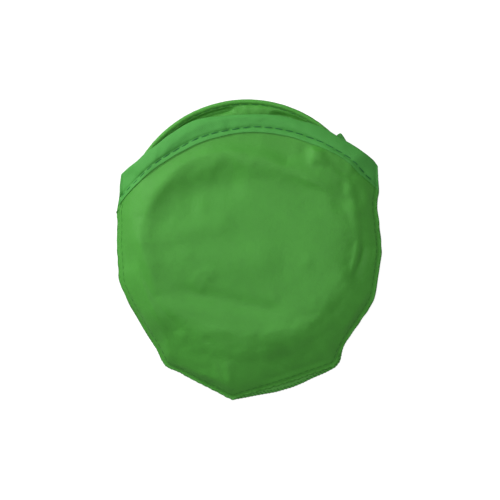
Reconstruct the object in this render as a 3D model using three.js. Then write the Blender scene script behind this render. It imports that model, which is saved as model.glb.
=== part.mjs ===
// Pocket flying disc, folded into three loops and stowed in its round fabric pouch.
// Millimetres, +Z up. The pouch lies flat on its back: X runs across it, +Y points out of its
// mouth. The origin is the middle of the pouch body, on the plane the pouch rests on.
import * as THREE from "three";

const { clamp, degToRad, lerp, smoothstep } = THREE.MathUtils;

// ---------------------------------------------------------------- driving dimensions
const CLOTH_T = 0.5; // thickness of a pouch panel
const THREAD_R = 0.24; // hem stitches
const EDGE_INSET = 1.05; // outside of the overlock seam to the panel edge
const MOUTH_INSET = 0.7; // mouth outline to the cloth edge; the hem's fold stands outside it

// Overlock seam
const SEAM_R = 0.42;
const SEAM_SIDE_Z = 4.2; // height of the side seam where the loops fill the pouch
const SEAM_FOOT_Z = 1.3; // height of the seam at the slack foot of the pouch
const SEAM_RISE_Y = [-46, -20]; // the seam rises from foot height to side height between these
const SEAM_LIFT = 0.05; // cord above the seam height
const SEAM_CLEARANCE = 0.02; // least gap between the cord and the resting plane

// Front cloth, outer surface
const CREST_Z = 13.85; // over the rim of the loops
const DISH_Z = 12.9; // over the middle of the loops
const DISH_FADE_Y = [0, 14]; // the dish fades out towards the mouth between these
const DISH_FADE_R = [18, 40]; // and towards the rim between these
const WALL_R = 43.4; // where the cloth starts to fall away towards the seam
const FLANGE = 0.6; // flat seam allowance outside the wall
const FRONT_ABOVE_SEAM = 0.7;
const WALL_WIDTHS = [5, 15]; // widths of wall between which its curve changes
const WALL_POWERS = [2.6, 1.75]; // superellipse power of a narrow wall and of a wide one

// Back cloth, inner surface
const BACK_BELOW_SEAM = 0.15;
const BACK_FLAT_R = 45.6; // flat within this radius
const BACK_CURL_POWER = 3.2; // how late the cloth turns up to the seam
const MOUTH_LIFT = 0.8; // rise of the cloth near the mouth
const MOUTH_LIFT_DEPTH = [10, 17]; // the rise fades between these distances from the mouth
const MOUTH_LIFT_Y = [15, 20]; // and starts between these

// Split between the front panel and the lip above it
const HINGE_Y = 24; // line where the front lip of the mouth folds back
const SPLIT_GAP = 0.5; // half the gap between the lip and the panel below it
const PANEL_TOP_Y = HINGE_Y - SPLIT_GAP;
const LIP_FOOT_Y = HINGE_Y + SPLIT_GAP;

// Mouth hems
const HEM_OUT = 6.5; // outer leg
const HEM_IN = 2.0; // inner leg
const HEM_T = 0.38; // tape thickness
const HEM_GAP = 0.34; // between tape and panel
const STITCH_UP = 2.1; // front stitch line above the outer leg's lower edge

// Folded disc
const LOOP_X = -0.4; // the three loops meet at the foot of the stack
const LOOP_FOOT_Y = -40.6;
const REAR_LOOP_R = 46.5; // outer radius of a loop, over its rim sleeve
const SMALL_LOOP_R = 43.6; // the middle and front loops
const REAR_LOOP_Z = 4.05; // middle plane of the rear loop
const LOOP_PITCH = 3.3; // from one loop's middle plane to the next

// Outside edge of the pouch, over its overlock seam: [x, y] from the left end of the mouth
// round the foot to the right end.
const SILHOUETTE = [
  [-48.7, 21.4], [-49.0, 17.5], [-49.4, 13.0], [-49.7, 8.0], [-49.8, 2.0], [-49.8, -4.0],
  [-49.5, -9.5], [-49.2, -14.6], [-47.9, -19.0], [-45.8, -23.6], [-43.0, -28.6], [-40.2, -33.2],
  [-37.2, -38.0], [-34.4, -43.2], [-32.6, -47.0], [-31.3, -48.3], [-27.0, -50.0], [-22.0, -52.6],
  [-15.0, -56.2], [-9.0, -59.4], [-5.7, -60.8], [-1.5, -60.2], [5.0, -58.6], [12.6, -56.9],
  [19.6, -54.4], [26.2, -51.7], [31.6, -49.4], [34.4, -47.4], [35.3, -44.6], [37.2, -38.9],
  [40.5, -33.8], [44.2, -28.0], [47.4, -23.4], [48.9, -21.2], [49.0, -18.0], [49.6, -13.4],
  [50.4, -8.6], [50.8, -3.5], [50.6, 0.0], [50.1, 5.0], [49.7, 10.0], [49.2, 16.0],
  [49.3, 22.0], [49.4, 27.4],
];
// Mouth edge of the front lip: [x, y], left to right.
const FRONT_MOUTH = [
  [-48.6, 21.6], [-48.1, 23.6], [-46.7, 25.8], [-44.8, 27.7], [-41.8, 30.6], [-38.4, 33.6],
  [-35.2, 35.8], [-30.5, 39.0], [-24.5, 42.6], [-18.7, 45.3], [-14.8, 46.5], [-4.9, 47.7],
  [0.8, 47.9], [6.5, 47.8], [11.4, 47.3], [19.0, 45.7], [25.8, 43.4], [33.4, 39.8],
  [37.4, 37.4], [41.4, 34.8], [45.9, 31.6], [48.6, 28.9], [49.3, 27.6],
];
// Mouth edge of the back panel: [x, y], left to right.
const BACK_MOUTH = [
  [-48.4, 22.4], [-46.6, 25.9], [-41.8, 30.6], [-36.0, 35.2], [-30.0, 39.4], [-22.0, 43.9],
  [-14.0, 47.0], [-5.0, 48.4], [4.0, 48.5], [13.0, 47.6], [22.0, 45.2], [30.0, 41.9],
  [36.0, 38.6], [41.4, 35.0], [45.9, 31.8], [48.9, 28.6],
];

// ---------------------------------------------------------------- lines in the XY plane
// Unit normal to the left of a polyline at point i, when walking along it.
function leftNormal(line, i) {
  const before = line[Math.max(0, i - 1)];
  const after = line[Math.min(line.length - 1, i + 1)];
  const alongX = after[0] - before[0];
  const alongY = after[1] - before[1];
  const length = Math.hypot(alongX, alongY);
  return [-alongY / length, alongX / length];
}

// A polyline moved to its left by a distance.
function offsetLine(line, distance) {
  return line.map(([x, y], i) => {
    const [normalX, normalY] = leftNormal(line, i);
    return [x + normalX * distance, y + normalY * distance];
  });
}

// Points at even spacing along a polyline.
function resample(line, count) {
  const travelled = [0];
  for (let i = 1; i < line.length; i++) {
    const step = Math.hypot(line[i][0] - line[i - 1][0], line[i][1] - line[i - 1][1]);
    travelled.push(travelled[i - 1] + step);
  }
  const last = line.length - 1;
  return Array.from({ length: count }, (_, k) => {
    const target = (travelled[last] * k) / (count - 1);
    let i = 1;
    while (i < last && travelled[i] < target) i++;
    const t = (target - travelled[i - 1]) / (travelled[i] - travelled[i - 1]);
    return [lerp(line[i - 1][0], line[i][0], t), lerp(line[i - 1][1], line[i][1], t)];
  });
}

// y at x of a polyline that runs left to right.
function heightAt(line, x) {
  const found = line.findIndex((point, i) => i > 0 && x <= point[0]);
  const i = found < 0 ? line.length - 1 : found;
  const t = (x - line[i - 1][0]) / (line[i][0] - line[i - 1][0]);
  return lerp(line[i - 1][1], line[i][1], clamp(t, 0, 1));
}

// Corners of a regular polygon.
function polygon(sides, radius) {
  return Array.from({ length: sides }, (_, i) => {
    const angle = (2 * Math.PI * (i + 0.5)) / sides;
    return [radius * Math.cos(angle), radius * Math.sin(angle)];
  });
}

// ---------------------------------------------------------------- solids
const quad = (a, b, c, d) => [[a, b, c], [a, c, d]];

// A closed geometry from vertices and faces, turned so that its faces point out.
function closedSolid(vertices, faces) {
  let volume = 0;
  for (const face of faces) {
    const [p, q, r] = face.map((index) => vertices[index]);
    volume += p[0] * (q[1] * r[2] - q[2] * r[1]);
    volume -= p[1] * (q[0] * r[2] - q[2] * r[0]);
    volume += p[2] * (q[0] * r[1] - q[1] * r[0]);
  }
  const outward = volume < 0 ? faces.map(([a, b, c]) => [a, c, b]) : faces;
  const geometry = new THREE.BufferGeometry();
  geometry.setAttribute("position", new THREE.Float32BufferAttribute(vertices.flat(), 3));
  geometry.setIndex(outward.flat());
  geometry.computeVertexNormals();
  return geometry;
}

// A panel of cloth from rows of points on its upper side.
function clothSheet(upper) {
  const rows = upper.length;
  const cols = upper[0].length;
  const top = upper.flat();
  const below = top.length;
  const at = (i, j) => i * cols + j;
  const faces = [];
  for (let i = 0; i < rows - 1; i++) {
    for (let j = 0; j < cols - 1; j++) {
      const corners = [at(i, j), at(i, j + 1), at(i + 1, j + 1), at(i + 1, j)];
      const [a, b, c, d] = corners.map((index) => below + index);
      faces.push(...quad(...corners), ...quad(a, d, c, b));
    }
  }
  const rim = [];
  for (let j = 0; j < cols - 1; j++) rim.push(at(0, j));
  for (let i = 0; i < rows - 1; i++) rim.push(at(i, cols - 1));
  for (let j = cols - 1; j > 0; j--) rim.push(at(rows - 1, j));
  for (let i = rows - 1; i > 0; i--) rim.push(at(i, 0));
  rim.forEach((a, k) => {
    const b = rim[(k + 1) % rim.length];
    faces.push(...quad(a, below + a, below + b, b));
  });
  return closedSolid([...top, ...top.map(([x, y, z]) => [x, y, z - CLOTH_T])], faces);
}

// A section swept along stations, each the same closed section in space, with capped ends.
function sweep(section, stations) {
  const sides = section.length;
  const last = (stations.length - 1) * sides;
  const faces = [];
  for (let start = 0; start < last; start += sides) {
    for (let j = 0; j < sides; j++) {
      const a = start + j;
      const b = start + ((j + 1) % sides);
      faces.push(...quad(a, b, b + sides, a + sides));
    }
  }
  const flat = section.map(([x, y]) => new THREE.Vector2(x, y));
  const clockwise = THREE.ShapeUtils.isClockWise(flat);
  for (const [a, b, c] of THREE.ShapeUtils.triangulateShape(flat, [])) {
    const [second, third] = clockwise ? [b, c] : [c, b];
    faces.push([a, second, third], [last + a, last + third, last + second]);
  }
  return closedSolid(stations.flat(), faces);
}

// A cord along a line in plan, its middle at the height that heightOf(x, y) gives.
function cord(line, sides, radius, heightOf) {
  const section = polygon(sides, radius);
  const stations = line.map(([x, y], i) => {
    const [normalX, normalY] = leftNormal(line, i);
    const z = heightOf(x, y);
    return section.map(([across, up]) => [x + normalX * across, y + normalY * across, z + up]);
  });
  return sweep(section, stations);
}

// ---------------------------------------------------------------- shape of the pouch cloth
// The outline runs left to right round the foot, so its left is inward.
const PANEL_EDGE = offsetLine(SILHOUETTE, EDGE_INSET);
const CENTRE = [LOOP_X, LOOP_FOOT_Y + REAR_LOOP_R];
const REACH_TOP_Y = 21; // highest line on which the panel edge is met on both sides

// Distance from the middle of the pouch to a point, and on through it to the panel edge.
// Above the middle the pouch is a straight sleeve, so the stack can be drawn out of it, and
// the distance is taken straight across.
function reach(x, y) {
  const dx = x - CENTRE[0];
  const dy = Math.min(0, y - CENTRE[1]);
  const distance = Math.hypot(dx, dy);
  const startY = y > CENTRE[1] ? clamp(y, CENTRE[1], REACH_TOP_Y) : CENTRE[1];
  const [rayX, rayY] = distance > 1e-6 ? [dx / distance, dy / distance] : [1, 0];
  let edgeDistance = Infinity;
  for (let i = 1; i < PANEL_EDGE.length; i++) {
    const [fromX, fromY] = PANEL_EDGE[i - 1];
    const sideX = PANEL_EDGE[i][0] - fromX;
    const sideY = PANEL_EDGE[i][1] - fromY;
    const cross = sideX * rayY - rayX * sideY;
    if (Math.abs(cross) < 1e-9) continue;
    const gapX = fromX - CENTRE[0];
    const gapY = fromY - startY;
    const alongRay = (sideX * gapY - gapX * sideY) / cross;
    const alongSide = (rayX * gapY - rayY * gapX) / cross;
    const onSide = alongSide >= -1e-6 && alongSide <= 1 + 1e-6;
    if (onSide && alongRay > 0) edgeDistance = Math.min(edgeDistance, alongRay);
  }
  return { distance, edgeDistance, edgeY: startY + rayY * edgeDistance };
}

const seamZ = (y) => lerp(SEAM_FOOT_Z, SEAM_SIDE_Z, smoothstep(y, ...SEAM_RISE_Y));

// Outer surface of the front cloth.
function frontZ(x, y) {
  const { distance, edgeDistance, edgeY } = reach(x, y);
  const footZ = seamZ(edgeY) + FRONT_ABOVE_SEAM;
  const wallEnd = edgeDistance - FLANGE;
  if (distance >= wallEnd) return footZ;
  if (distance <= WALL_R) {
    const dishZ = lerp(DISH_Z, CREST_Z, smoothstep(y, ...DISH_FADE_Y));
    return lerp(dishZ, CREST_Z, smoothstep(distance, ...DISH_FADE_R));
  }
  const wallWidth = wallEnd - WALL_R;
  const t = (wallEnd - distance) / wallWidth;
  const power = lerp(...WALL_POWERS, smoothstep(wallWidth, ...WALL_WIDTHS));
  return footZ + (CREST_Z - footZ) * Math.pow(1 - Math.pow(1 - t, power), 1 / power);
}

// Inner surface of the back cloth.
function backZ(x, y) {
  const { distance, edgeDistance, edgeY } = reach(x, y);
  const edgeZ = seamZ(edgeY) - BACK_BELOW_SEAM;
  const curlWidth = Math.max(edgeDistance - BACK_FLAT_R, 1);
  const t = clamp((distance - BACK_FLAT_R) / curlWidth, 0, 1);
  const nearMouth = 1 - smoothstep(heightAt(BACK_MOUTH, x) - y, ...MOUTH_LIFT_DEPTH);
  const lift = MOUTH_LIFT * nearMouth * smoothstep(y, ...MOUTH_LIFT_Y);
  return Math.max(CLOTH_T + lift, CLOTH_T + (edgeZ - CLOTH_T) * Math.pow(t, BACK_CURL_POWER));
}

// ---------------------------------------------------------------- materials and groups
const matte = (look) => new THREE.MeshStandardMaterial({ metalness: 0, ...look });
const cloth = matte({ color: 0x4c9440, roughness: 0.62 });
const discCloth = matte({ color: 0x519b45, roughness: 0.6 });
const tape = matte({ color: 0x4f9b4b, roughness: 0.7 });
const thread = matte({ color: 0x2f7c4a, roughness: 0.55 });
const steel = new THREE.MeshStandardMaterial({ color: 0xb4b6b8, roughness: 0.35, metalness: 1 });

const root = new THREE.Group();

function addGroup(x = 0, y = 0, z = 0) {
  const group = new THREE.Group();
  group.position.set(x, y, z);
  root.add(group);
  return group;
}

function addMesh(group, name, geometry, material) {
  const mesh = new THREE.Mesh(geometry, material);
  mesh.name = name;
  group.add(mesh);
}

// ---------------------------------------------------------------- pouch
// Front panel: from the fold line of the lip down to the seam.
function frontPanel() {
  const topLeft = -47.3;
  const topRight = 48.3;
  const rows = [0, 0.26, 0.5, 0.66, 0.77, 0.85, 0.91, 0.955, 0.98, 1]; // top line to seam
  const edge = resample(PANEL_EDGE.filter(([, y]) => y < PANEL_TOP_Y - 1.4), 39);
  return clothSheet(rows.map((down) => edge.map(([edgeX, edgeY], j) => {
    const x = lerp(lerp(topLeft, topRight, j / (edge.length - 1)), edgeX, down);
    const y = lerp(PANEL_TOP_Y, edgeY, down);
    return [x, y, frontZ(x, y)];
  })));
}

// Back panel: one full round of cloth, flat where it rests, as rings about a middle point.
function backPanel() {
  const mouthLeft = -47.4;
  const mouthRight = 48.3;
  const scales = [0.3, 0.62, 0.8, 0.9, 0.955, 1]; // rings, as parts of the outline
  const count = 60;
  const mouth = BACK_MOUTH.map(([x, y]) => [clamp(x, mouthLeft, mouthRight), y - MOUTH_INSET]);
  const rim = [...PANEL_EDGE.slice(0, -1), ...mouth.reverse()];
  const outline = resample([...rim, rim[0]], count + 1).slice(0, -1);
  const [middleX, middleY] = [CENTRE[0], 0];

  const vertices = [[middleX, middleY, CLOTH_T], [middleX, middleY, 0]];
  for (const scale of scales) {
    for (const [edgeX, edgeY] of outline) {
      const x = lerp(middleX, edgeX, scale);
      const y = lerp(middleY, edgeY, scale);
      const z = backZ(x, y);
      vertices.push([x, y, z], [x, y, z - CLOTH_T]);
    }
  }
  const top = (i, j) => 2 + 2 * (i * count + (j % count));
  const low = (i, j) => top(i, j) + 1;
  const last = scales.length - 1;
  const faces = [];
  for (let j = 0; j < count; j++) {
    const k = j + 1;
    faces.push([0, top(0, j), top(0, k)], [1, low(0, k), low(0, j)]);
    for (let i = 0; i < last; i++) {
      faces.push(...quad(top(i, j), top(i + 1, j), top(i + 1, k), top(i, k)));
      faces.push(...quad(low(i, j), low(i, k), low(i + 1, k), low(i + 1, j)));
    }
    faces.push(...quad(top(last, j), low(last, j), low(last, k), top(last, k)));
  }
  return closedSolid(vertices, faces);
}

// Overlock seam that joins the two panels, from one end of the mouth round the foot.
function overlockSeam() {
  const line = resample(offsetLine(SILHOUETTE, SEAM_R), 64);
  const lowest = SEAM_R + SEAM_CLEARANCE;
  return cord(line, 5, SEAM_R, (x, y) => Math.max(seamZ(y) + SEAM_LIFT, lowest));
}

// A tape folded over a cloth edge that runs left to right. surface gives the cloth's outer
// side; side is +1 where that faces up and -1 where it faces down.
function hem(edge, surface, side, count) {
  const outer = HEM_GAP + HEM_T;
  const inner = -CLOTH_T - HEM_GAP;
  // [distance in from the cloth edge, height out from the cloth's outer side]
  const section = [
    [-outer, outer], [HEM_OUT / 2, outer], [HEM_OUT, outer],
    [HEM_OUT, HEM_GAP], [HEM_OUT / 2, HEM_GAP], [-HEM_GAP, HEM_GAP],
    [-HEM_GAP, inner], [HEM_IN, inner], [HEM_IN, inner - HEM_T], [-outer, inner - HEM_T],
  ];
  const line = resample(edge, count);
  const stations = line.map(([edgeX, edgeY], i) => {
    const [normalX, normalY] = leftNormal(line, i);
    return section.map(([inward, height]) => {
      const x = edgeX - normalX * inward;
      const y = edgeY - normalY * inward;
      return [x, y, surface(x, y) + side * height];
    });
  });
  return sweep(section, stations);
}

// A stitch thread laid on the upper face of a hem, a little clear of it.
function hemThread(line, surface, clearance, count) {
  const height = HEM_GAP + HEM_T + clearance + THREAD_R;
  return cord(resample(line, count), 4, THREAD_R, (x, y) => surface(x, y) + height);
}

function buildPouch() {
  const pouch = addGroup();
  addMesh(pouch, "pouch_front_panel", frontPanel(), cloth);
  addMesh(pouch, "pouch_back_panel", backPanel(), cloth);
  addMesh(pouch, "side_seam_overlock_thread", overlockSeam(), thread);

  const backUnder = (x, y) => backZ(x, y) - CLOTH_T;
  const hemmed = BACK_MOUTH.filter(([x]) => x > -45.5 && x < 45);
  const edge = hemmed.map(([x, y]) => [x, y - MOUTH_INSET]);
  addMesh(pouch, "back_mouth_hem", hem(edge, backUnder, -1, 30), tape);
  // The back row of stitches shows on the inner leg of the hem.
  const stitches = hemThread(offsetLine(edge, -HEM_IN / 2), backZ, 0.06, 30);
  addMesh(pouch, "back_hem_thread", stitches, thread);
}

// ---------------------------------------------------------------- front lip of the mouth
const LIP_EDGE = offsetLine(FRONT_MOUTH, -MOUTH_INSET);

function lipPanel() {
  const left = -46.2;
  const right = 48.0;
  const leastHeight = 0.8; // of the lip, at its ends
  const cols = 43;
  return clothSheet([0, 0.3, 0.65, 1].map((up) => Array.from({ length: cols }, (_, j) => {
    const even = j / (cols - 1);
    const crowded = 0.5 - 0.5 * Math.cos(Math.PI * even); // columns draw together at the ends
    const x = lerp(left, right, lerp(even, crowded, 0.5));
    const topY = Math.max(heightAt(LIP_EDGE, x), LIP_FOOT_Y + leastHeight);
    const y = lerp(LIP_FOOT_Y, topY, up);
    return [x, y, frontZ(x, y)];
  })));
}

function buildLip() {
  const lip = addGroup();
  addMesh(lip, "front_lip_panel", lipPanel(), cloth);
  const edge = LIP_EDGE.filter(([x, y]) => x > -42.6 && x < 45 && y > LIP_FOOT_Y);
  addMesh(lip, "front_mouth_hem", hem(edge, frontZ, 1, 34), tape);
  const row = offsetLine(edge, STITCH_UP - HEM_OUT).filter(([, y]) => y > LIP_FOOT_Y + 0.6);
  addMesh(lip, "front_hem_thread", hemThread(row, frontZ, 0.1, 44), thread);
}

// ---------------------------------------------------------------- the folded disc
const WIRE_R = 0.55; // spring steel hoop wire
const SLEEVE_OUT = 1.3; // rim sleeve, wire centre to outside
const SLEEVE_IN = 1.0; // rim sleeve, wire centre to inside face
const SLEEVE_LEG = 4.6; // rim sleeve, wire centre to the inner edge of its legs
const LEAF_T = 0.4; // disc cloth
const LEAF_INSET = 0.95; // wire centre to the edge of the disc cloth
const LEAF_FLAT = 7; // width of the flat border of the disc cloth
const LEAF_SAG = 0.25; // drop of the disc cloth at its middle
const STITCH_R = 0.2; // stitch row of the sleeve
const STITCH_IN = 3.6; // its distance in from the wire centre
const STITCH_Z = 1.33; // and its height over it
const FERRULE_IN = 0.68;
const FERRULE_OUT = 0.86;
const FERRULE_STEP = 26; // step of the ring that carries the ferrule
const RING_STEPS = 38;
const GAP_DEG = 3; // each loop is open by this much on both sides of the crossover
const RING_FROM = degToRad(-90 + GAP_DEG);
const RING_TO = degToRad(270 - GAP_DEG);
const STITCH_GAP = degToRad(2); // the stitch row stops short of the sleeve by this much

// Rim sleeve, folded round the wire, open towards the middle of the loop:
// [distance out from the wire centre, height over it].
const SLEEVE_SECTION = [
  [-SLEEVE_LEG, 0.86], [-0.2, SLEEVE_OUT], [0.95, 0.85], [SLEEVE_OUT, 0],
  [0.95, -0.85], [-0.2, -SLEEVE_OUT], [-SLEEVE_LEG, -0.86],
  [-SLEEVE_LEG, -0.5], [-0.1, -SLEEVE_IN], [0.85, -0.5],
  [0.85, 0.5], [-0.1, SLEEVE_IN], [-SLEEVE_LEG, 0.5],
];

class RingArc extends THREE.Curve {
  constructor(radius) {
    super();
    this.radius = radius;
  }

  getPoint(t, out = new THREE.Vector3()) {
    const angle = lerp(RING_FROM, RING_TO, t);
    return out.set(this.radius * Math.cos(angle), this.radius * Math.sin(angle), 0);
  }
}

// Stations of a section carried round an arc about Z.
function ringStations(section, radius, from = RING_FROM, to = RING_TO, steps = RING_STEPS) {
  return Array.from({ length: steps + 1 }, (_, i) => {
    const angle = lerp(from, to, i / steps);
    const cos = Math.cos(angle);
    const sin = Math.sin(angle);
    return section.map(([out, up]) => [(radius + out) * cos, (radius + out) * sin, up]);
  });
}

function hoopWire(radius) {
  const shape = new THREE.Shape(polygon(6, WIRE_R).map(([x, y]) => new THREE.Vector2(x, y)));
  return new THREE.ExtrudeGeometry(shape, {
    steps: RING_STEPS,
    bevelEnabled: false,
    extrudePath: new RingArc(radius),
  });
}

// Disc cloth: dished a little, its edge held between the legs of the sleeve.
function discLeaf(radius) {
  const edge = radius - LEAF_INSET;
  const half = LEAF_T / 2;
  const profile = [
    [0, -half - LEAF_SAG], [edge - LEAF_FLAT, -half], [edge, -half],
    [edge, half], [edge - LEAF_FLAT, half], [0, half - LEAF_SAG],
  ];
  const points = profile.map(([x, y]) => new THREE.Vector2(x, y));
  return new THREE.LatheGeometry(points, RING_STEPS).rotateX(Math.PI / 2);
}

// Stitch row that closes the sleeve.
function rimThread(radius) {
  const section = polygon(4, STITCH_R);
  const placed = section.map(([x, y]) => [x - STITCH_IN, y + STITCH_Z]);
  const stations = ringStations(placed, radius, RING_FROM + STITCH_GAP, RING_TO - STITCH_GAP);
  return sweep(section, stations);
}

function buildLoop(prefix, outerRadius, z) {
  const group = addGroup(LOOP_X, LOOP_FOOT_Y + outerRadius, z);
  const radius = outerRadius - SLEEVE_OUT;
  const sleeve = sweep(SLEEVE_SECTION, ringStations(SLEEVE_SECTION, radius));
  addMesh(group, prefix + "_hoop_wire", hoopWire(radius), steel);
  addMesh(group, prefix + "_rim_sleeve", sleeve, tape);
  addMesh(group, prefix + "_disc_cloth", discLeaf(radius), discCloth);
  addMesh(group, prefix + "_rim_thread", rimThread(radius), thread);
  return group;
}

// Crimped sleeve that joins the two ends of the wire: a tube one ring step long.
function ferrule(radius) {
  const sides = 6;
  const inside = 2 * sides; // the inner vertices follow the two outer rings
  const from = lerp(RING_FROM, RING_TO, FERRULE_STEP / RING_STEPS);
  const to = lerp(RING_FROM, RING_TO, (FERRULE_STEP + 1) / RING_STEPS);
  const wall = (size) => ringStations(polygon(sides, size), radius, from, to, 1).flat();
  const faces = [];
  for (let a = 0; a < sides; a++) {
    const b = (a + 1) % sides;
    const [farA, farB] = [a + sides, b + sides];
    faces.push(...quad(a, b, farB, farA));
    faces.push(...quad(inside + a, inside + farA, inside + farB, inside + b));
    faces.push(...quad(a, inside + a, inside + b, b));
    faces.push(...quad(farA, farB, inside + farB, inside + farA));
  }
  return closedSolid([...wall(FERRULE_OUT), ...wall(FERRULE_IN)], faces);
}

buildPouch();
buildLip();
buildLoop("front_loop", SMALL_LOOP_R, REAR_LOOP_Z + 2 * LOOP_PITCH);
buildLoop("middle_loop", SMALL_LOOP_R, REAR_LOOP_Z + LOOP_PITCH);
const rearLoop = buildLoop("rear_loop", REAR_LOOP_R, REAR_LOOP_Z);
addMesh(rearLoop, "wire_ferrule", ferrule(REAR_LOOP_R - SLEEVE_OUT), steel);

export default root;
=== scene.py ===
import math
from collections import namedtuple
import bpy
import numpy as np
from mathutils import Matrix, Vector
from mathutils.bvhtree import BVHTree
from mathutils.geometry import delaunay_2d_cdt


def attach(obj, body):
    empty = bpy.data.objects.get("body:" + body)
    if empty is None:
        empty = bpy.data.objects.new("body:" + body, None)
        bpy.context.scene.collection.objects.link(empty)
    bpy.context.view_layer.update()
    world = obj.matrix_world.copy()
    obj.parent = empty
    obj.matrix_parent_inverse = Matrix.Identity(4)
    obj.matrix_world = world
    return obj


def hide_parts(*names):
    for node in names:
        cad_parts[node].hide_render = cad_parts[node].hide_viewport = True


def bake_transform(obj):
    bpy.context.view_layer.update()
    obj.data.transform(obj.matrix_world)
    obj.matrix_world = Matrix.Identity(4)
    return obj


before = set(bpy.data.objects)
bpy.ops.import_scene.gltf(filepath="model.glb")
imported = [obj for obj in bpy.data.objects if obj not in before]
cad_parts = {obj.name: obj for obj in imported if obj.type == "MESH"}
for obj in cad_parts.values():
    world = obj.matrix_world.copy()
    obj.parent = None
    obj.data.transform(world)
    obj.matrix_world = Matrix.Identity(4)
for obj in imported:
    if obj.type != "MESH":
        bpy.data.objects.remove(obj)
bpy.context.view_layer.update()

MM = 0.001
TURN = 2 * math.pi

CAMERA_AT = np.array([0.76, -3.8, 902.0])
OUTLINE_Z = 7.4               # the outlines below are as the camera sees them at this height

# The stack of loops
STACK_X = -0.4
REAR_Y, TOP_Y = 6.25, 3.0     # the middle and front loops share one centre
REAR_R, TOP_R = 46.5, 42.2
REAR_Z, MIDDLE_Z, FRONT_Z = 4.05, 7.0, 9.95

# The front cloth over the stack
DRAPE_X, DRAPE_Y = -0.4, 4.0
CREST_Z, DISH_Z = 13.10, 13.40    # cloth height near the rim and at the middle
SPREAD = 0.30                 # how much sooner the cloth leaves the top where the edge is wider
STITCH_PITCH = 4.05           # of both mouth hems

# ---------------------------------------------------------------- outlines: x, y
# Mouth edge of the front lip, left corner to right corner.
MOUTH = [
    (-48.1, 24.7), (-46.7, 26.0), (-45.2, 27.4), (-42.2, 29.8), (-40.3, 31.7), (-38.4, 33.4),
    (-35.3, 35.5), (-30.8, 39.1), (-27.7, 41.2), (-25.1, 42.9), (-22.4, 44.3), (-19.8, 45.4),
    (-14.8, 46.4), (-10.3, 46.7), (-4.9, 47.2), (0.8, 47.4), (6.1, 47.4), (10.6, 47.1),
    (15.2, 46.4), (18.6, 45.2), (23.9, 44.1), (27.4, 42.8), (31.2, 41.0), (33.8, 39.3),
    (36.5, 37.8), (39.1, 36.4), (42.6, 34.2), (45.2, 32.2), (47.9, 29.8), (49.3, 27.7)]
# Seam of the front panel, left corner round the foot to right corner.
SEAM = [
    (-48.1, 24.7), (-48.3, 22.8), (-48.6, 20.5), (-48.6, 18.2), (-48.8, 16.0), (-49.2, 13.7),
    (-49.6, 11.4), (-49.7, 9.1), (-49.4, 6.8), (-49.6, 4.6), (-49.6, 2.3), (-49.7, 0.0),
    (-49.6, -2.3), (-49.7, -4.6), (-49.3, -6.8), (-49.4, -9.1), (-49.0, -11.4), (-49.2, -13.7),
    (-48.9, -15.4), (-47.9, -18.2), (-46.7, -20.5), (-45.8, -22.8), (-44.7, -25.1),
    (-43.3, -27.4), (-42.0, -29.6), (-40.7, -31.9), (-39.4, -34.2), (-38.0, -36.5),
    (-36.5, -38.8), (-35.0, -41.0), (-33.9, -43.3), (-32.9, -45.6), (-31.4, -48.0),
    (-28.9, -49.2), (-26.2, -50.2), (-22.4, -52.4), (-17.9, -54.7), (-13.3, -57.0),
    (-8.7, -59.4), (-5.9, -60.8), (-1.9, -59.2), (1.9, -58.1), (6.5, -56.8), (11.0, -55.5),
    (16.3, -53.8), (23.2, -51.3), (29.4, -49.2), (32.9, -48.0), (34.4, -46.0), (34.8, -43.3),
    (36.1, -41.0), (37.2, -38.8), (38.8, -36.5), (40.3, -34.2), (42.1, -31.9), (43.4, -29.6),
    (45.2, -27.4), (46.5, -25.1), (47.8, -22.8), (48.4, -20.5), (48.8, -18.2), (49.1, -16.0),
    (49.4, -13.7), (49.8, -11.4), (50.1, -9.1), (50.5, -6.8), (50.8, -4.6), (50.5, -2.3),
    (50.5, 0.0), (50.2, 2.3), (49.8, 4.6), (49.8, 6.8), (49.4, 9.1), (49.0, 11.4), (49.0, 13.7),
    (49.2, 16.0), (49.7, 17.9), (49.6, 20.5), (49.4, 22.8), (49.3, 25.1), (49.2, 27.6)]
# The back panel's seam is the same, except at the lower right, where it shows below the front.
BACK_FOOT = [
    (-5.9, -60.8), (-1.5, -60.0), (4.2, -58.9), (10.6, -57.8), (17.1, -55.9), (20.9, -54.3),
    (24.3, -52.6), (29.3, -50.5), (33.4, -48.3), (35.1, -46.0), (35.6, -43.3)]
# Mouth edge of the back panel, right corner to left, with the tip of its hem's corner at the right.
BACK_MOUTH = [
    (49.2, 27.6), (47.5, 29.7), (44.8, 32.1), (41.4, 34.5), (38.8, 36.3), (37.6, 37.2),
    (36.9, 38.4), (36.1, 39.7), (35.4, 40.8), (34.5, 40.2), (33.4, 39.0), (31.2, 40.1),
    (26.6, 42.3), (19.8, 44.2), (14.1, 45.4), (5.3, 46.2), (-1.1, 46.2), (-8.7, 45.8),
    (-16.3, 44.8), (-22.0, 43.2), (-27.7, 39.9), (-33.4, 35.9), (-38.8, 32.4), (-44.5, 27.2),
    (-48.1, 24.7)]
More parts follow.
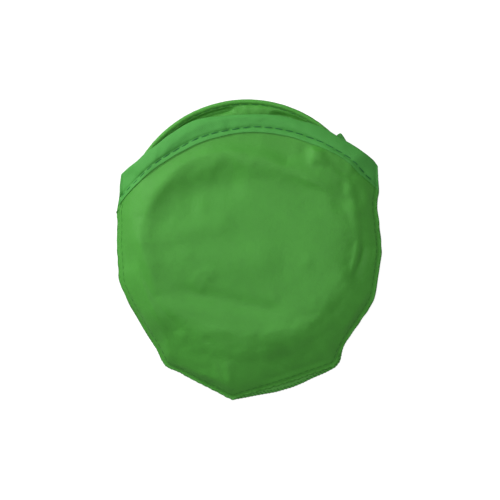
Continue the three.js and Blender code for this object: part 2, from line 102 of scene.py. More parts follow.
# Lower edge of the front mouth hem and the stitch row on it, left to right.
HEM_LOW = [
    (-49.2, 12.7), (-47.5, 15.5), (-45.6, 17.9), (-43.7, 20.0), (-41.5, 22.0), (-38.8, 24.5),
    (-36.1, 26.8), (-33.4, 28.6), (-30.6, 30.3), (-27.4, 32.3), (-24.1, 34.1), (-19.8, 36.3),
    (-16.3, 37.7), (-12.5, 38.8), (-8.7, 39.7), (-5.2, 40.4), (-1.1, 40.9), (3.0, 41.0),
    (7.2, 40.7), (11.4, 40.1), (16.9, 39.0), (22.4, 37.2), (27.7, 35.2), (33.3, 32.7),
    (36.1, 31.0), (38.8, 29.0), (41.8, 25.8), (44.5, 23.5), (47.1, 21.1), (49.6, 18.8)]
STITCH_ROW = [
    (-48.4, 15.8), (-47.1, 17.7), (-45.6, 19.5), (-43.7, 21.5), (-41.5, 23.6), (-39.1, 26.0),
    (-36.5, 28.3), (-33.8, 30.3), (-30.6, 32.3), (-28.1, 33.8), (-25.5, 35.3), (-22.8, 36.9),
    (-19.8, 38.4), (-16.3, 39.7), (-12.5, 40.8), (-8.0, 41.7), (-3.4, 42.4), (2.1, 43.1),
    (7.6, 42.9), (12.5, 42.1), (18.1, 40.9), (22.4, 39.3), (27.1, 37.7), (30.0, 36.3),
    (32.7, 34.8), (35.7, 33.1), (38.8, 31.2), (41.4, 29.0), (43.3, 26.8), (45.6, 24.1),
    (47.9, 21.8), (49.4, 20.5)]
# The front cloth's edge, as if it went on past the mouth: right corner to left.
OVER_TOP = [
    (49.4, 27.4), (47.5, 36), (40, 46), (27, 55), (13, 59.5), (0, 61), (-13, 59.5),
    (-27, 54.5), (-39, 45.5), (-46, 35), (-47.9, 25.1)]
# Inner and outer edge of the tilted facet at the lower left.
FACET_INNER = [
    (-41.0, 3.0), (-41.0, -1.5), (-41.6, -6.8), (-41.4, -12.9), (-39.5, -18.6), (-37.2, -24.3),
    (-34.6, -29.3), (-32.3, -33.1), (-30.8, -36.9), (-30.4, -41.0), (-30.4, -44.8)]
FACET_OUTER = [
    (-46.0, 3.0), (-46.7, -1.9), (-47.1, -6.8), (-46.7, -11.4), (-45.6, -16.7), (-43.3, -22.0),
    (-40.7, -27.4), (-37.8, -32.7), (-35.0, -37.6), (-32.9, -41.8), (-31.5, -45.6)]

# Folds of the front cloth: centre line, height (+ ridge, - valley), half width, and the
# length of the taper at its start and at its end.
FOLDS = [
    # slow waves of the whole sheet
    ([(-36.6, 1.6), (-26.1, 2.7), (-16.6, 5.0), (-3.2, 6.5)], 0.81, 4.6, 8, 8),
    ([(-34.2, -8.4), (-18.2, -8.1), (-3.0, -8.1), (14.2, -6.9)], 0.99, 7.2, 10, 10),
    ([(-30.7, -18.3), (-18.6, -20.9), (-5.3, -23.6), (5.0, -25.9), (15.7, -27.8)],
     -0.80, 3.3, 9, 9),
    ([(-22.0, -35.0), (-8.7, -34.3), (5.4, -35.0), (16.3, -32.7)], 0.26, 2.3, 8, 8),
    ([(-27.4, 17.0), (-19.8, 17.8), (-10.7, 20.1), (0.7, 21.6)], -1.25, 5.5, 8, 8),
    ([(18.6, 12.2), (25.2, 4.9), (28.0, -3.9), (26.5, -15.0)], 0.31, 6.7, 8, 8),
    ([(38.0, 15.0), (40.3, 5.7), (38.8, -3.7), (36.5, -15.0)], -1.25, 4.1, 8, 8),
    ([(4.0, -55.5), (14.4, -54.0), (25.0, -50.5), (32.7, -45.6)], -1.3, 5.0, 6, 6),
    ([(-27.6, -44.2), (-18.2, -45.3), (-8.8, -43.4)], 0.58, 4.9, 6, 6),
    ([(-20.5, -53.5), (-12.2, -51.6), (-6.5, -56.6)], 0.64, 3.6, 4, 4),
    ([(45.5, -17.7), (41.0, -28.0), (37.6, -37.8)], 1.25, 5.3, 6, 6),
    ([(-42.4, 16.6), (-43.9, 5.7), (-44.3, -5.7)], 0.18, 3.2, 8, 8),
    # low swell at the upper left of the dish
    ([(-22.0, 10.0), (-17.3, 12.6), (-12.6, 13.7)], 0.25, 4.6, 5, 5),
    # creases at the upper right, up to the hem and out to the seam
    ([(25.6, 27.1), (26.6, 31.7), (27.2, 35.9)], 1.23, 2.8, 4, 3),
    ([(19.8, 29.9), (21.2, 34.0), (22.4, 36.6)], -0.33, 2.0, 4, 3),
    ([(36.4, 30.7), (31.8, 26.9), (27.2, 22.7), (23.8, 20.0)], -0.24, 3.2, 5, 5),
    ([(39.8, 29.3), (36.8, 26.3), (33.7, 23.3)], -0.90, 3.6, 4, 4),
    ([(30.8, 10.6), (36.5, 13.6), (42.3, 16.3), (45.3, 17.5)], -1.20, 3.8, 6, 4),
    ([(26.9, 16.0), (33.7, 19.0), (39.8, 21.2)], -0.76, 4.3, 7, 5),
    # long hollows beside the seam at the right
    ([(44.4, 1.0), (43.7, -3.5), (42.4, -8.6), (40.4, -13.0), (38.1, -17.6)], -1.25, 3.2, 5, 5),
    ([(44.1, 15.2), (44.1, 5.6), (42.6, -4.1), (40.3, -12.6)], -0.71, 2.8, 6, 6),
    # groove beside the seam at the left
    ([(-45.4, 1.5), (-45.6, -4.6), (-45.5, -9.8), (-44.5, -14.4)], -0.55, 1.7, 6, 6),
    # folds that run down into the foot
    ([(-10.0, -42.9), (-8.5, -46.7), (-7.4, -50.3), (-7.0, -54.8), (-6.8, -59.3)],
     0.60, 2.0, 6, 3),
    ([(-13.3, -44.5), (-12.2, -48.3), (-11.2, -52.8), (-9.9, -57.5)], 0.38, 1.6, 5, 4),
    ([(-4.1, -44.7), (-4.6, -50.0), (-5.2, -55.4)], -0.15, 2.0, 5, 4),
    ([(15.8, -40.4), (12.3, -45.8), (9.7, -50.4)], -1.24, 4.1, 6, 4),
    ([(26.2, -37.7), (22.8, -42.7), (19.3, -47.6)], -0.51, 2.6, 6, 4),
    ([(31.0, -33.9), (29.5, -39.2), (28.4, -44.6)], 0.44, 2.5, 5, 4),
    # small wrinkles at the lower left
    ([(-31.7, -40.7), (-27.3, -41.5), (-22.1, -41.1)], -0.05, 1.6, 3, 3),
    ([(-25.5, -44.5), (-19.8, -44.2), (-13.7, -43.4)], -0.16, 1.8, 3, 3),
    ([(-35.6, -35.1), (-31.7, -37.7), (-27.0, -38.8)], 0.10, 2.0, 3, 3),
    # low ridge below the hem at the left
    ([(-27.7, 30.8), (-23.8, 27.7), (-19.2, 25.4)], 0.15, 1.7, 3, 5),
    # ridge down the right side
    ([(36.9, 16.7), (39.5, 6.8), (38.8, -3.8), (35.7, -13.7)], 0.35, 3.2, 8, 8),
    # ridge of the slack cloth along the lower left seam
    ([(-31.2, -47.9), (-26.6, -47.9), (-21.3, -49.8), (-15.6, -52.1), (-9.9, -54.7)],
     0.35, 1.5, 4, 4),
    # broad ridge round the lower right of the dish
    ([(3.8, -38.0), (15.2, -36.9), (25.1, -33.4), (32.7, -27.7)], 0.55, 4.5, 8, 8),
    # ridge below the hem at the right
    ([(23.9, 26.2), (24.4, 31.2), (24.9, 35.7)], 0.50, 1.3, 5, 2),
]
# Crest where the cloth turns down into the dish, from the lower left round the top to the
# right: x, y, height, width on the outer side, width on the inner side.
CREST = np.array([
    (-30.8, -21.3, 0.00, 2.0, 5.0), (-34.6, -16.3, 0.70, 2.0, 6.0),
    (-36.9, -10.5, 1.69, 2.4, 6.5), (-39.8, -1.1, 2.00, 3.5, 6.5),
    (-38.6, 8.4, 1.15, 1.5, 4.6), (-36.2, 15.8, 1.70, 2.6, 3.2),
    (-31.1, 22.3, 2.00, 2.7, 3.4), (-24.1, 28.4, 1.56, 2.2, 5.9),
    (-15.3, 31.8, 2.00, 2.8, 6.5), (-6.0, 32.9, 2.00, 3.6, 6.5),
    (2.8, 29.3, 2.00, 5.9, 4.4), (14.0, 26.9, 2.00, 2.9, 4.0),
    (25.7, 22.3, 1.60, 8.2, 1.7), (34.3, 16.4, 0.00, 6.0, 1.5)])
# Creases of the rear loop's cloth: centre line, height, half width.
REAR_CREASES = [
    ([(-36.5, 34.6), (-33.4, 37.0), (-28.9, 40.5), (-23.6, 44.3), (-18.2, 47.5), (-12.9, 49.8),
      (-8.4, 50.8), (-4.6, 51.5)], -2.5, 2.2),
    ([(7.6, 48.6), (12.9, 47.7), (18.2, 46.4), (23.2, 44.7), (27.7, 42.8), (31.9, 41.0)],
     -2.0, 1.2),
    ([(-3.8, 49.2), (2.3, 49.8), (9.1, 49.9), (16.7, 48.5), (23.6, 46.2)], 0.6, 2.2),
    ([(-16.0, 45.6), (-12.2, 46.2), (-7.6, 46.7)], -0.6, 0.8),
]


# ---------------------------------------------------------------- curves and noise
def length_along(p):
    return np.concatenate([[0], np.cumsum(np.linalg.norm(np.diff(p, axis=0), axis=1))])


def interp_columns(at, places, table):
    return np.stack([np.interp(at, places, table[:, k]) for k in range(table.shape[1])], 1)


def even(p, n):
    """n points at even spacing along a polyline of any dimension."""
    s = length_along(p)
    return interp_columns(np.linspace(0, s[-1], n), s, p)


def gaussian(reach, sigma, step=1.0):
    weights = np.exp(-0.5 * (np.arange(-reach, reach + 1) * step / sigma) ** 2)
    return weights / weights.sum()


def soften(p, sigma, step=0.35):
    """The polyline resampled at step and smoothed over sigma mm, with its ends kept."""
    p = np.asarray(p, float)
    q = even(p, max(8, int(length_along(p)[-1] / step)))
    m = int(4 * sigma / step) + 1
    weights = gaussian(m, sigma, step)
    pad = np.concatenate([2 * q[0] - q[m:0:-1], q, 2 * q[-1] - q[-2:-m - 2:-1]])
    return np.stack([np.convolve(pad[:, k], weights, "valid") for k in range(q.shape[1])], 1)


def tangents(p):
    t = np.gradient(p, axis=0)
    return t / np.maximum(np.linalg.norm(t, axis=1, keepdims=True), 1e-9)


def left_normals(p):
    """In plan, to the left of the walking direction."""
    t = tangents(p)
    return np.stack([-t[:, 1], t[:, 0]], 1)


def nearest(xy, line, chunk=4000):
    """For each point: distance to the polyline, side (+ is left of the walking direction)
    and place along it, 0 to its length."""
    start = line[:-1]
    step = line[1:] - start
    step_sq = np.maximum((step ** 2).sum(1), 1e-12)
    start_at = length_along(line)[:-1]
    step_len = np.sqrt(step_sq)
    dist, side, along = (np.empty(len(xy)) for _ in range(3))
    for i in range(0, len(xy), chunk):
        part = slice(i, i + chunk)
        r = xy[part][:, None] - start[None]
        t = np.clip((r * step[None]).sum(2) / step_sq, 0, 1)
        dist_sq = ((r - t[..., None] * step[None]) ** 2).sum(2)
        k = dist_sq.argmin(1)
        row = np.arange(len(k))
        dist[part] = np.sqrt(dist_sq[row, k])
        side[part] = np.sign(step[k, 0] * r[row, k, 1] - step[k, 1] * r[row, k, 0])
        along[part] = start_at[k] + t[row, k] * step_len[k]
    return dist, side, along


def ease(t):
    t = np.clip(t, 0, 1)
    return t * t * (3 - 2 * t)


def bell(distance, width):
    return np.exp(-(distance / width) ** 2)


def soft_above(gap, softness, limit):
    """Nearly gap where it is above zero, nearly zero where it is below."""
    return softness * np.log1p(np.exp(np.clip(gap / softness, -30, limit)))


def noise(x, y, cell, seed):
    """Smooth value noise between -1 and 1."""
    g = np.random.default_rng(seed).uniform(-1, 1, (256, 256))
    u, v = np.asarray(x, float) / cell + 91.3, np.asarray(y, float) / cell + 57.7
    i, j = np.floor(u).astype(int), np.floor(v).astype(int)
    fu, fv = u - i, v - j
    fu = fu * fu * fu * (fu * (fu * 6 - 15) + 10)
    fv = fv * fv * fv * (fv * (fv * 6 - 15) + 10)
    a, b = g[i % 256, j % 256], g[(i + 1) % 256, j % 256]
    c, d = g[i % 256, (j + 1) % 256], g[(i + 1) % 256, (j + 1) % 256]
    return (a * (1 - fu) + b * fu) * (1 - fv) + (c * (1 - fu) + d * fu) * fv


# ---------------------------------------------------------------- outlines in place
def seam_z(y):
    """The sewn edge is low at the foot and higher at the sides."""
    return 1.15 + 3.2 * ease((y + 47) / 27)


def at_height(p, z):
    """A point of an outline moved to height z, on the same line of sight."""
    eye = CAMERA_AT[:2]
    scale = (CAMERA_AT[2] - np.asarray(z)) / (CAMERA_AT[2] - OUTLINE_Z)
    return eye + (p - eye) * scale[..., None]


def mouth_level(p):
    """The mouth rises from its two corners."""
    s = length_along(p)
    return at_height(p, 4.9 + 8.0 * ease(s / 9) * ease((s[-1] - s) / 9))


def seam_level(points, lift):
    line = soften(points, 0.5)
    return at_height(line, seam_z(line[:, 1]) + lift)


def wavy(line):
    """A sewn edge is a little wavy, except at its ends."""
    s = length_along(line)
    wave = 0.16 * np.sin(TURN * s / 2.9 + 0.9 * np.sin(s / 11)) * (0.55 + 0.45 * np.sin(s / 17 + 1))
    wave += 0.14 * noise(s, 0, 1.6, 3)
    wave *= ease(s / 4) * ease((s[-1] - s) / 4)
    return line + left_normals(line) * wave[:, None]


def seam_index(point):
    return np.abs(np.array(SEAM) - point).sum(1).argmin()


MOUTH_LINE = mouth_level(soften(MOUTH, 0.8))
HEM_LOW_LINE = mouth_level(soften(HEM_LOW, 0.9))
STITCH_LINE = mouth_level(soften(STITCH_ROW, 1.3))
SEAM_LINE = wavy(seam_level(SEAM, 0.4))
BACK_SEAM_LINE = seam_level(np.concatenate([
    SEAM[:seam_index(BACK_FOOT[0])], BACK_FOOT, SEAM[seam_index(BACK_FOOT[-1]) + 1:]]), 0.2)
FRONT_OUTLINE = np.concatenate([SEAM_LINE[:-1], MOUTH_LINE[::-1][:-1]])

# ---------------------------------------------------------------- heights of the front cloth
DRAPE_EDGE = np.concatenate([soften(SEAM, 1.6, 0.8), OVER_TOP[1:-1]])
EDGE_ANGLE = np.arctan2(DRAPE_EDGE[:, 1] - DRAPE_Y, DRAPE_EDGE[:, 0] - DRAPE_X)
EDGE_R = np.hypot(DRAPE_EDGE[:, 1] - DRAPE_Y, DRAPE_EDGE[:, 0] - DRAPE_X)
# 1 where the edge goes on past the mouth, 0 along the seam
EDGE_OVER = (np.arange(len(DRAPE_EDGE)) >= len(DRAPE_EDGE) - len(OVER_TOP) + 2).astype(float)
FACET_ANGLE = np.radians(np.arange(180.0, 250.0, 2.0))


def facet_radius(line):
    p = even(soften(line, 1.0), 200) - (DRAPE_X, DRAPE_Y)
    angle = np.mod(np.arctan2(p[:, 1], p[:, 0]), TURN)
    return np.interp(FACET_ANGLE, angle, np.hypot(p[:, 0], p[:, 1]))


FACET_INNER_R, FACET_OUTER_R = facet_radius(FACET_INNER), facet_radius(FACET_OUTER)


def drape_polar(xy):
    """Place from the drape's centre, with the edge's radius there and how far it is past the
    mouth."""
    x, y = xy[:, 0] - DRAPE_X, xy[:, 1] - DRAPE_Y
    angle = np.arctan2(y, x)
    edge = np.interp(angle, EDGE_ANGLE, EDGE_R, period=TURN)
    over = ease(np.interp(angle, EDGE_ANGLE, EDGE_OVER, period=TURN))
    return x, y, np.hypot(x, y), angle, edge, over


def facet_height(r, turn, edge, top, seam):
    """Lower left: the slack stands out past the rim, then a tilted facet, then a steep edge."""
    drop, softness, middle = 4.9, 0.32, 8
    outer = np.minimum(np.interp(turn, FACET_ANGLE, FACET_OUTER_R), edge - 1.7)
    inner = np.minimum(np.interp(turn, FACET_ANGLE, FACET_INNER_R), outer - 2.2)
    tilted = top - drop * (r - inner) / (outer - inner)
    steep = seam + (top - drop - seam) * (edge - 0.4 - r) / (edge - 0.4 - outer)
    # soft minimum of the three faces, then kept above the seam
    total = sum(np.exp(-np.clip(z - middle, -30, 30) / softness) for z in (top, tilted, steep))
    low = -softness * np.log(total) + middle
    return seam + soft_above(low - seam, softness, 60)


def base_height(xy):
    """The cloth over the stack: flat on the top rim, falling to the sewn edge; steep at the
    sides, a long drape at the foot."""
    x, y, r, angle, edge, over = drape_polar(xy)
    seam = seam_z(DRAPE_Y + edge * np.sin(angle)) * (1 - over) + 7.6 * over + 0.35
    foot = ease((edge - 49.5) / 11)
    lower_left = ease((-y - 12) / 10) * ease((50 + y) / 12) * ease((-x - 18) / 12)
    flange = (1.0 + 2.2 * lower_left - 0.4 * foot) * (1 - over)
    # the cloth leaves the top before it gets to the rim, the sooner the wider the drape
    shoulder = (42.3 - SPREAD * edge) / (1 - SPREAD)
    shoulder = shoulder + 0.5 * np.sin(angle * 2 + 0.6) + 0.4 * np.sin(angle * 3 - 1.1)
    f = np.clip((r - shoulder) / (edge - flange - shoulder), 0, 1)
    side_wall = (1 - f ** 1.9) ** 0.85
    bend = 0.5  # share of the drape that curves before it falls straight
    drape = 1 - np.where(f < bend, f * f / (2 * bend), f - bend / 2) / (1 - bend / 2)
    # the slack foot keeps its height almost to the seam and rolls over there
    roll = 0.24 * foot * ease((-y - 26) / 12)
    drape = drape * (1 - roll) + roll * (1 - np.exp(-(1 - f) / 0.075))
    g = side_wall * (1 - foot) + drape * foot
    top = DISH_Z + (CREST_Z - DISH_Z) * ease((r - 12) / 24)
    turn = np.mod(angle, TURN)
    facet = facet_height(r, turn, edge, top, seam)
    w = ease((turn - math.radians(186)) / math.radians(14))
    w = w * ease((math.radians(243) - turn) / math.radians(24))
    return (seam + (top - seam) * g) * (1 - w) + facet * w


def crest_height(xy):
    line = CREST[:, :2]
    p = soften(line, 2.5, 0.7)
    s = length_along(p)
    at = [s[np.argmin(np.linalg.norm(p - q, axis=1))] for q in line]
    dist, side, along = nearest(xy, p)
    height, outer, inner = (np.interp(along, at, CREST[:, k]) for k in (2, 3, 4))
    u = dist * side
    width = np.where(u > 0, outer, inner)
    u = np.sign(u) * (np.sqrt(u * u + 0.5) - 0.7071)  # rounds the top of the crest
    return height * np.exp(-np.abs(u / width) ** 1.5)


def fold_height(xy):
    z = np.zeros(len(xy))
    for line, height, width, taper_in, taper_out in FOLDS:
        p = soften(line, 1.5)
        low, high = p.min(0) - 4 * width - 1, p.max(0) + 4 * width + 1
        near = np.all((xy > low) & (xy < high), axis=1)
        dist, _, along = nearest(xy[near], p)
        left = length_along(p)[-1] - along
        z[near] += height * bell(dist, width) * ease(along / taper_in) * ease(left / taper_out)
    z += crest_height(xy)
    _, _, r, _, edge, over = drape_polar(xy)
    z *= np.maximum(ease((edge - r - 0.6) / 3.2), over)
    # slow unevenness of the cloth
    x, y = xy[:, 0], xy[:, 1]
    z += 0.10 * noise(x + 0.4 * y, y, 13, 11)
    z += 0.05 * noise(x, y + 0.3 * x, 6, 12) + 0.02 * noise(x, y, 2.4, 13)
    return z


# ---------------------------------------------------------------- meshes
def mesh_object(name, verts, faces, uv=None):
    """A smooth-shaded object. Its UV map is the cloth's own coordinates in centimetres, so that
    its weave stays put when it bends; x and y where no uv is given."""
    mesh = bpy.data.meshes.new(name)
    mesh.from_pydata((verts * MM).tolist(), [], faces)
    mesh.update()
    mesh.polygons.foreach_set("use_smooth", np.ones(len(mesh.polygons), bool))
    layer = mesh.uv_layers.new(name="cloth")
    flat = (verts[:, :2] if uv is None else uv) / 10
    corner = np.empty(len(mesh.loops), np.int32)
    mesh.loops.foreach_get("vertex_index", corner)
    layer.data.foreach_set("uv", flat[corner].astype(np.float32).ravel())
    return link_object(name, mesh)


def link_object(name, data):
    piece = bpy.data.objects.new(name, data)
    bpy.context.scene.collection.objects.link(piece)
    return piece


def ring(outline):
    """The outline with its first point again at the end."""
    return np.concatenate([outline, outline[:1]])


def triangulate(outline, spacing):
    """Even triangles inside a closed outline: plan points and faces."""
    closed = ring(outline)
    n = max(12, int(length_along(closed)[-1] / spacing))
    rim = even(closed, n + 1)[:-1]
    low, high = rim.min(0), rim.max(0)
    grid = []
    for k, y in enumerate(np.arange(low[1], high[1], spacing * math.sqrt(3) / 2)):
        x = np.arange(low[0] + (k % 2) * spacing / 2, high[0], spacing)
        grid.append(np.stack([x, np.full(len(x), y)], 1))
    grid = np.concatenate(grid)
    dist, side, _ = nearest(grid, ring(rim))
    x, y = rim.T
    area = 0.5 * np.sum(x * np.roll(y, -1) - np.roll(x, -1) * y)
    grid = grid[(side * np.sign(area) > 0) & (dist > spacing * 0.55)]
    loop = list(range(len(rim)))
    if area < 0:
        loop = loop[::-1]
    points = [Vector(p) for p in np.concatenate([rim, grid])]
    out = delaunay_2d_cdt(points, [], [loop], 1, 1e-6)
    return np.array([tuple(p) for p in out[0]], float), [tuple(f) for f in out[2]]


def sheet_faces(nu, nv, wrap_u=False):
    faces = []
    for i in range(nu - (0 if wrap_u else 1)):
        a, b = i * nv, ((i + 1) % nu) * nv
        faces += [(a + j, b + j, b + j + 1, a + j + 1) for j in range(nv - 1)]
    return faces


def tube(path, radius, sides=8):
    """Vertices and faces of a capped round cord. radius is one number or one per point."""
    n = len(path)
    t = tangents(path)
    across = np.cross(t, [0.0, 0.0, 1.0])
    upright = np.linalg.norm(across, axis=1) < 1e-3
    across[upright] = np.cross(t[upright], [0, 1, 0])
    across /= np.linalg.norm(across, axis=1, keepdims=True)
    over = np.cross(across, t)
    r = np.broadcast_to(np.asarray(radius, float), (n,))
    angle = np.linspace(0, TURN, sides, endpoint=False)
    cos, sin = np.cos(angle)[None, :, None], np.sin(angle)[None, :, None]
    v = path[:, None] + r[:, None, None] * (cos * across[:, None] + sin * over[:, None])
    faces = []
    for i in range(n - 1):
        a, b = i * sides, (i + 1) * sides
        faces += [(a + j, a + (j + 1) % sides, b + (j + 1) % sides, b + j) for j in range(sides)]
    faces.append(tuple(range(sides))[::-1])
    faces.append(tuple((n - 1) * sides + j for j in range(sides)))
    return v.reshape(-1, 3), faces


def join(parts):
    verts, faces, base = [], [], 0
    for part_verts, part_faces in parts:
        verts.append(part_verts)
        faces += [tuple(i + base for i in q) for q in part_faces]
        base += len(part_verts)
    return np.concatenate(verts), faces


def solidify(piece, thickness, offset=-1.0):
    m = piece.modifiers.new("thickness", "SOLIDIFY")
    m.thickness = thickness * MM
    m.offset = offset
    m.use_rim = True
    m.use_even_offset = False
    return piece


def fit(piece, slot, *cad, body="pouch", bends=False):
    """Parents the piece to its body's empty, or bakes its transform in place if it bends, and hides
    the CAD pieces it replaces. slot is not used."""
    if bends:
        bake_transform(piece)
    else:
        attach(piece, body)
    if cad:
        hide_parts(*cad)
    return piece


def stitches(path, lift, pitch, length, radius, slant, seed):
    """Separate lockstitches along a path on a surface: each rises out of its hole and goes
    back in."""
    s = length_along(path)
    side = np.column_stack([left_normals(path), np.zeros(len(path))])
    g = np.random.default_rng(seed)
    q = np.linspace(0, 1, 9)
    arch = np.sin(math.pi * q)
    parts = []
    for i in range(int((s[-1] - 0.8) / pitch)):
        start = 0.5 + i * pitch + g.uniform(-0.12, 0.12)
        end = start + length + g.uniform(-0.15, 0.15)
        at = start + (end - start) * q
        p = interp_columns(at, s, path)
        p += interp_columns(at, s, side) * ((q - 0.5) * slant)[:, None]
        p[:, 2] += lift * (arch ** 0.5 * 1.25 - 0.55 * (1 - arch ** 0.5))
        parts.append(tube(p, radius * (0.55 + 0.45 * arch ** 0.4), 8))
    return join(parts)


# ---------------------------------------------------------------- the front cloth settles
SIM_SCALE = 0.01   # one millimetre in simulation units: the smallest collision distance fits
# Half section of a loop of radius 42.3: radius, height.
SIM_PROFILE = np.array([
    (0, -0.6), (30, -0.3), (39, -0.1), (41, 0.2), (41.5, 0.8), (42.3, 1.1), (43.1, 0.8),
    (43.5, 0), (43.1, -0.8), (42.3, -1.1), (41, -0.8)])
SIM_PROFILE_R = 42.3
SIM_REAR_R = 45.9
GRID_LOW, GRID_SIZE, GRID_STEP = np.array([-55.0, -65.0]), np.array([278, 300]), 0.4


def sim_cloth():
    """The front panel, held at its seam and mouth."""
    v, faces = triangulate(FRONT_OUTLINE, 1.15)
    k = SIM_SCALE
    mesh = bpy.data.meshes.new("settle_cloth")
    mesh.from_pydata([(x * k, y * k, z * k) for (x, y), z in zip(v, base_height(v))], [], faces)
    cloth = link_object("settle_cloth", mesh)
    group = cloth.vertex_groups.new(name="sewn")
    dist, _, _ = nearest(v, ring(FRONT_OUTLINE))
    for i in np.nonzero(dist < 0.7)[0]:
        group.add([int(i)], 1.0, "REPLACE")
    return cloth


def sim_stack():
    """Rims and cloth of the three loops, for the panel to land on."""
    parts = []
    n, m = 96, len(SIM_PROFILE)
    angle = np.linspace(0, TURN, n, endpoint=False)[:, None]
    for y, radius, z in [
            (TOP_Y, TOP_R, FRONT_Z), (TOP_Y, TOP_R, MIDDLE_Z), (REAR_Y, SIM_REAR_R, REAR_Z)]:
        r = SIM_PROFILE[None, :, 0] / SIM_PROFILE_R * radius
        height = np.broadcast_to(SIM_PROFILE[:, 1] + z, (n, m))
        v = np.stack([STACK_X + r * np.cos(angle), y + r * np.sin(angle), height], 2)
        parts.append((v.reshape(-1, 3) * SIM_SCALE, sheet_faces(n, m, True)))
    verts, faces = join(parts)
    mesh = bpy.data.meshes.new("settle_stack")
    mesh.from_pydata(verts.tolist(), [], faces)
    stack = link_object("settle_stack", mesh)
    stack.modifiers.new("hit", "COLLISION")
    stack.collision.thickness_outer = 0.004
    stack.collision.cloth_friction = 8
    return stack


def settle():
    """Cloth simulation of the front panel, slack by a little over one per cent, sinking over
    the three rims. Gives its points and how far each is above the base height."""
    cloth = sim_cloth()
    stack = sim_stack()
    m = cloth.modifiers.new("cloth", "CLOTH")
    s = m.settings
    s.quality = 6
    s.mass = 0.25
    s.air_damping = 2.0
    s.tension_stiffness = s.compression_stiffness = 22
    s.shear_stiffness = 9
    s.bending_stiffness = 0.35
    s.tension_damping = s.compression_damping = 8
    s.vertex_group_mass = "sewn"
    s.shrink_min = -0.013
    s.effector_weights.gravity = 0.6
    m.collision_settings.use_collision = True
    m.collision_settings.distance_min = 0.004
    m.collision_settings.use_self_collision = False
    m.point_cache.frame_start = 1
    m.point_cache.frame_end = 40
    scene = bpy.context.scene
    for frame_no in range(1, 33):
        scene.frame_set(frame_no)
    verts = cloth.evaluated_get(bpy.context.evaluated_depsgraph_get()).data.vertices
    co = np.empty(len(verts) * 3)
    verts.foreach_get("co", co)
    co = co.reshape(-1, 3) / SIM_SCALE
    scene.frame_set(1)
    for piece in (cloth, stack):
        mesh = piece.data
        bpy.data.objects.remove(piece)
        bpy.data.meshes.remove(mesh)
    return co, co[:, 2] - base_height(co[:, :2])


def blur(field, sigma):
    n = int(3 * sigma) + 1
    weights = gaussian(n, sigma)
    for axis in (0, 1):
        field = np.apply_along_axis(
            lambda q: np.convolve(np.pad(q, n, "edge"), weights, "valid"), axis, field)
    return field


def settled_field(stack_r):
    """The settled cloth's fine relief on the grid."""
    co, rise = settle()
    total, count = np.zeros(GRID_SIZE), np.full(GRID_SIZE, 1e-4)
    cell = np.round((co[:, :2] - GRID_LOW) / GRID_STEP).astype(int)
    i, j = np.clip(cell, 0, GRID_SIZE - 1).T
    np.add.at(total, (i, j), rise)
    np.add.at(count, (i, j), 1.0)
    field = blur(total, 3.0) / blur(count, 3.0)
    field = field - blur(field, 22)
    # the rims print through as soft, broken rings: only a fifth of the even part is kept
    band = stack_r.ravel() / 0.5
    cells = np.bincount(band.astype(int), minlength=300)
    sums = np.bincount(band.astype(int), field.ravel(), minlength=300)
    mean = sums / np.maximum(cells, 1)
    return field - 0.8 * np.interp(band, np.arange(len(mean)) + 0.5, mean).reshape(GRID_SIZE)


def front_height_grid():
    axes = [GRID_LOW[k] + GRID_STEP * np.arange(GRID_SIZE[k]) for k in (0, 1)]
    grid = np.stack(np.meshgrid(*axes, indexing="ij"), 2).reshape(-1, 2)
    r = np.hypot(grid[:, 0] - STACK_X, grid[:, 1] - TOP_Y).reshape(GRID_SIZE)
    relief = settled_field(r)
    height = (base_height(grid) + fold_height(grid)).reshape(GRID_SIZE)
    height = height + 0.4 * np.clip(relief, -0.7, 0.7)
    # the top rim holds the cloth up wherever a fold would sink into it
    hold = 11.25 - 0.5 * np.clip((r - 41.5) / 1.2, 0, None) ** 2
    hold = hold - 0.5 * np.clip((41.5 - r) / 6, 0, 1)
    return height + soft_above(hold - height, 0.16, 30)


FRONT_HEIGHT = front_height_grid()


def front_z(xy):
    """Outer face of the front cloth."""
    cell = np.clip((xy - GRID_LOW) / GRID_STEP, 0, GRID_SIZE - 1.001)
    i, j = cell.astype(int).T
    a, b = cell[:, 0] - i, cell[:, 1] - j
    h = FRONT_HEIGHT
    return (h[i, j] * (1 - a) * (1 - b) + h[i + 1, j] * a * (1 - b)
            + h[i, j + 1] * (1 - a) * b + h[i + 1, j + 1] * a * b)


def back_z(xy):
    """Inner face of the back cloth: flat on the floor, rising to its seam."""
    x, y = xy[:, 0], xy[:, 1]
    line = BACK_SEAM_LINE
    dist, _, along = nearest(xy, line)
    r = np.hypot(x - DRAPE_X, y - 5.0)
    out = np.maximum(r - 44.6, 0)
    share = out / np.maximum(out + dist, 1e-6)
    last = len(line) - 1
    near = line[np.clip((along / length_along(line)[-1] * last).astype(int), 0, last)]
    seam = seam_z(near[:, 1]) + 0.02
    flat = 0.28 + 0.55 * ease((y - 30) / 8)
    z = flat + (seam - flat) * np.clip(share, 0, 1) ** 2.3
    z += 0.05 * noise(x, y, 9, 31) * ease(r / 40) * ease((r - 20) / 20)
    return z


# ---------------------------------------------------------------- pouch cloth
def pouch_panel(name, outline, spacing, height_of, thickness):
    v, faces = triangulate(outline, spacing)
    return solidify(mesh_object(name, np.column_stack([v, height_of(v)]), faces), thickness)


front = pouch_panel("front_cloth", FRONT_OUTLINE, 0.56, front_z, thickness=0.2)
fit(front, "pouch_cloth", "pouch_front_panel", "front_lip_panel", bends=True)
back_outline = np.concatenate([BACK_SEAM_LINE[:-1], soften(BACK_MOUTH, 0.4)[:-1]])
back = pouch_panel("back_cloth", back_outline, 0.8, back_z, thickness=0.24)
fit(back, "pouch_cloth", "pouch_back_panel")

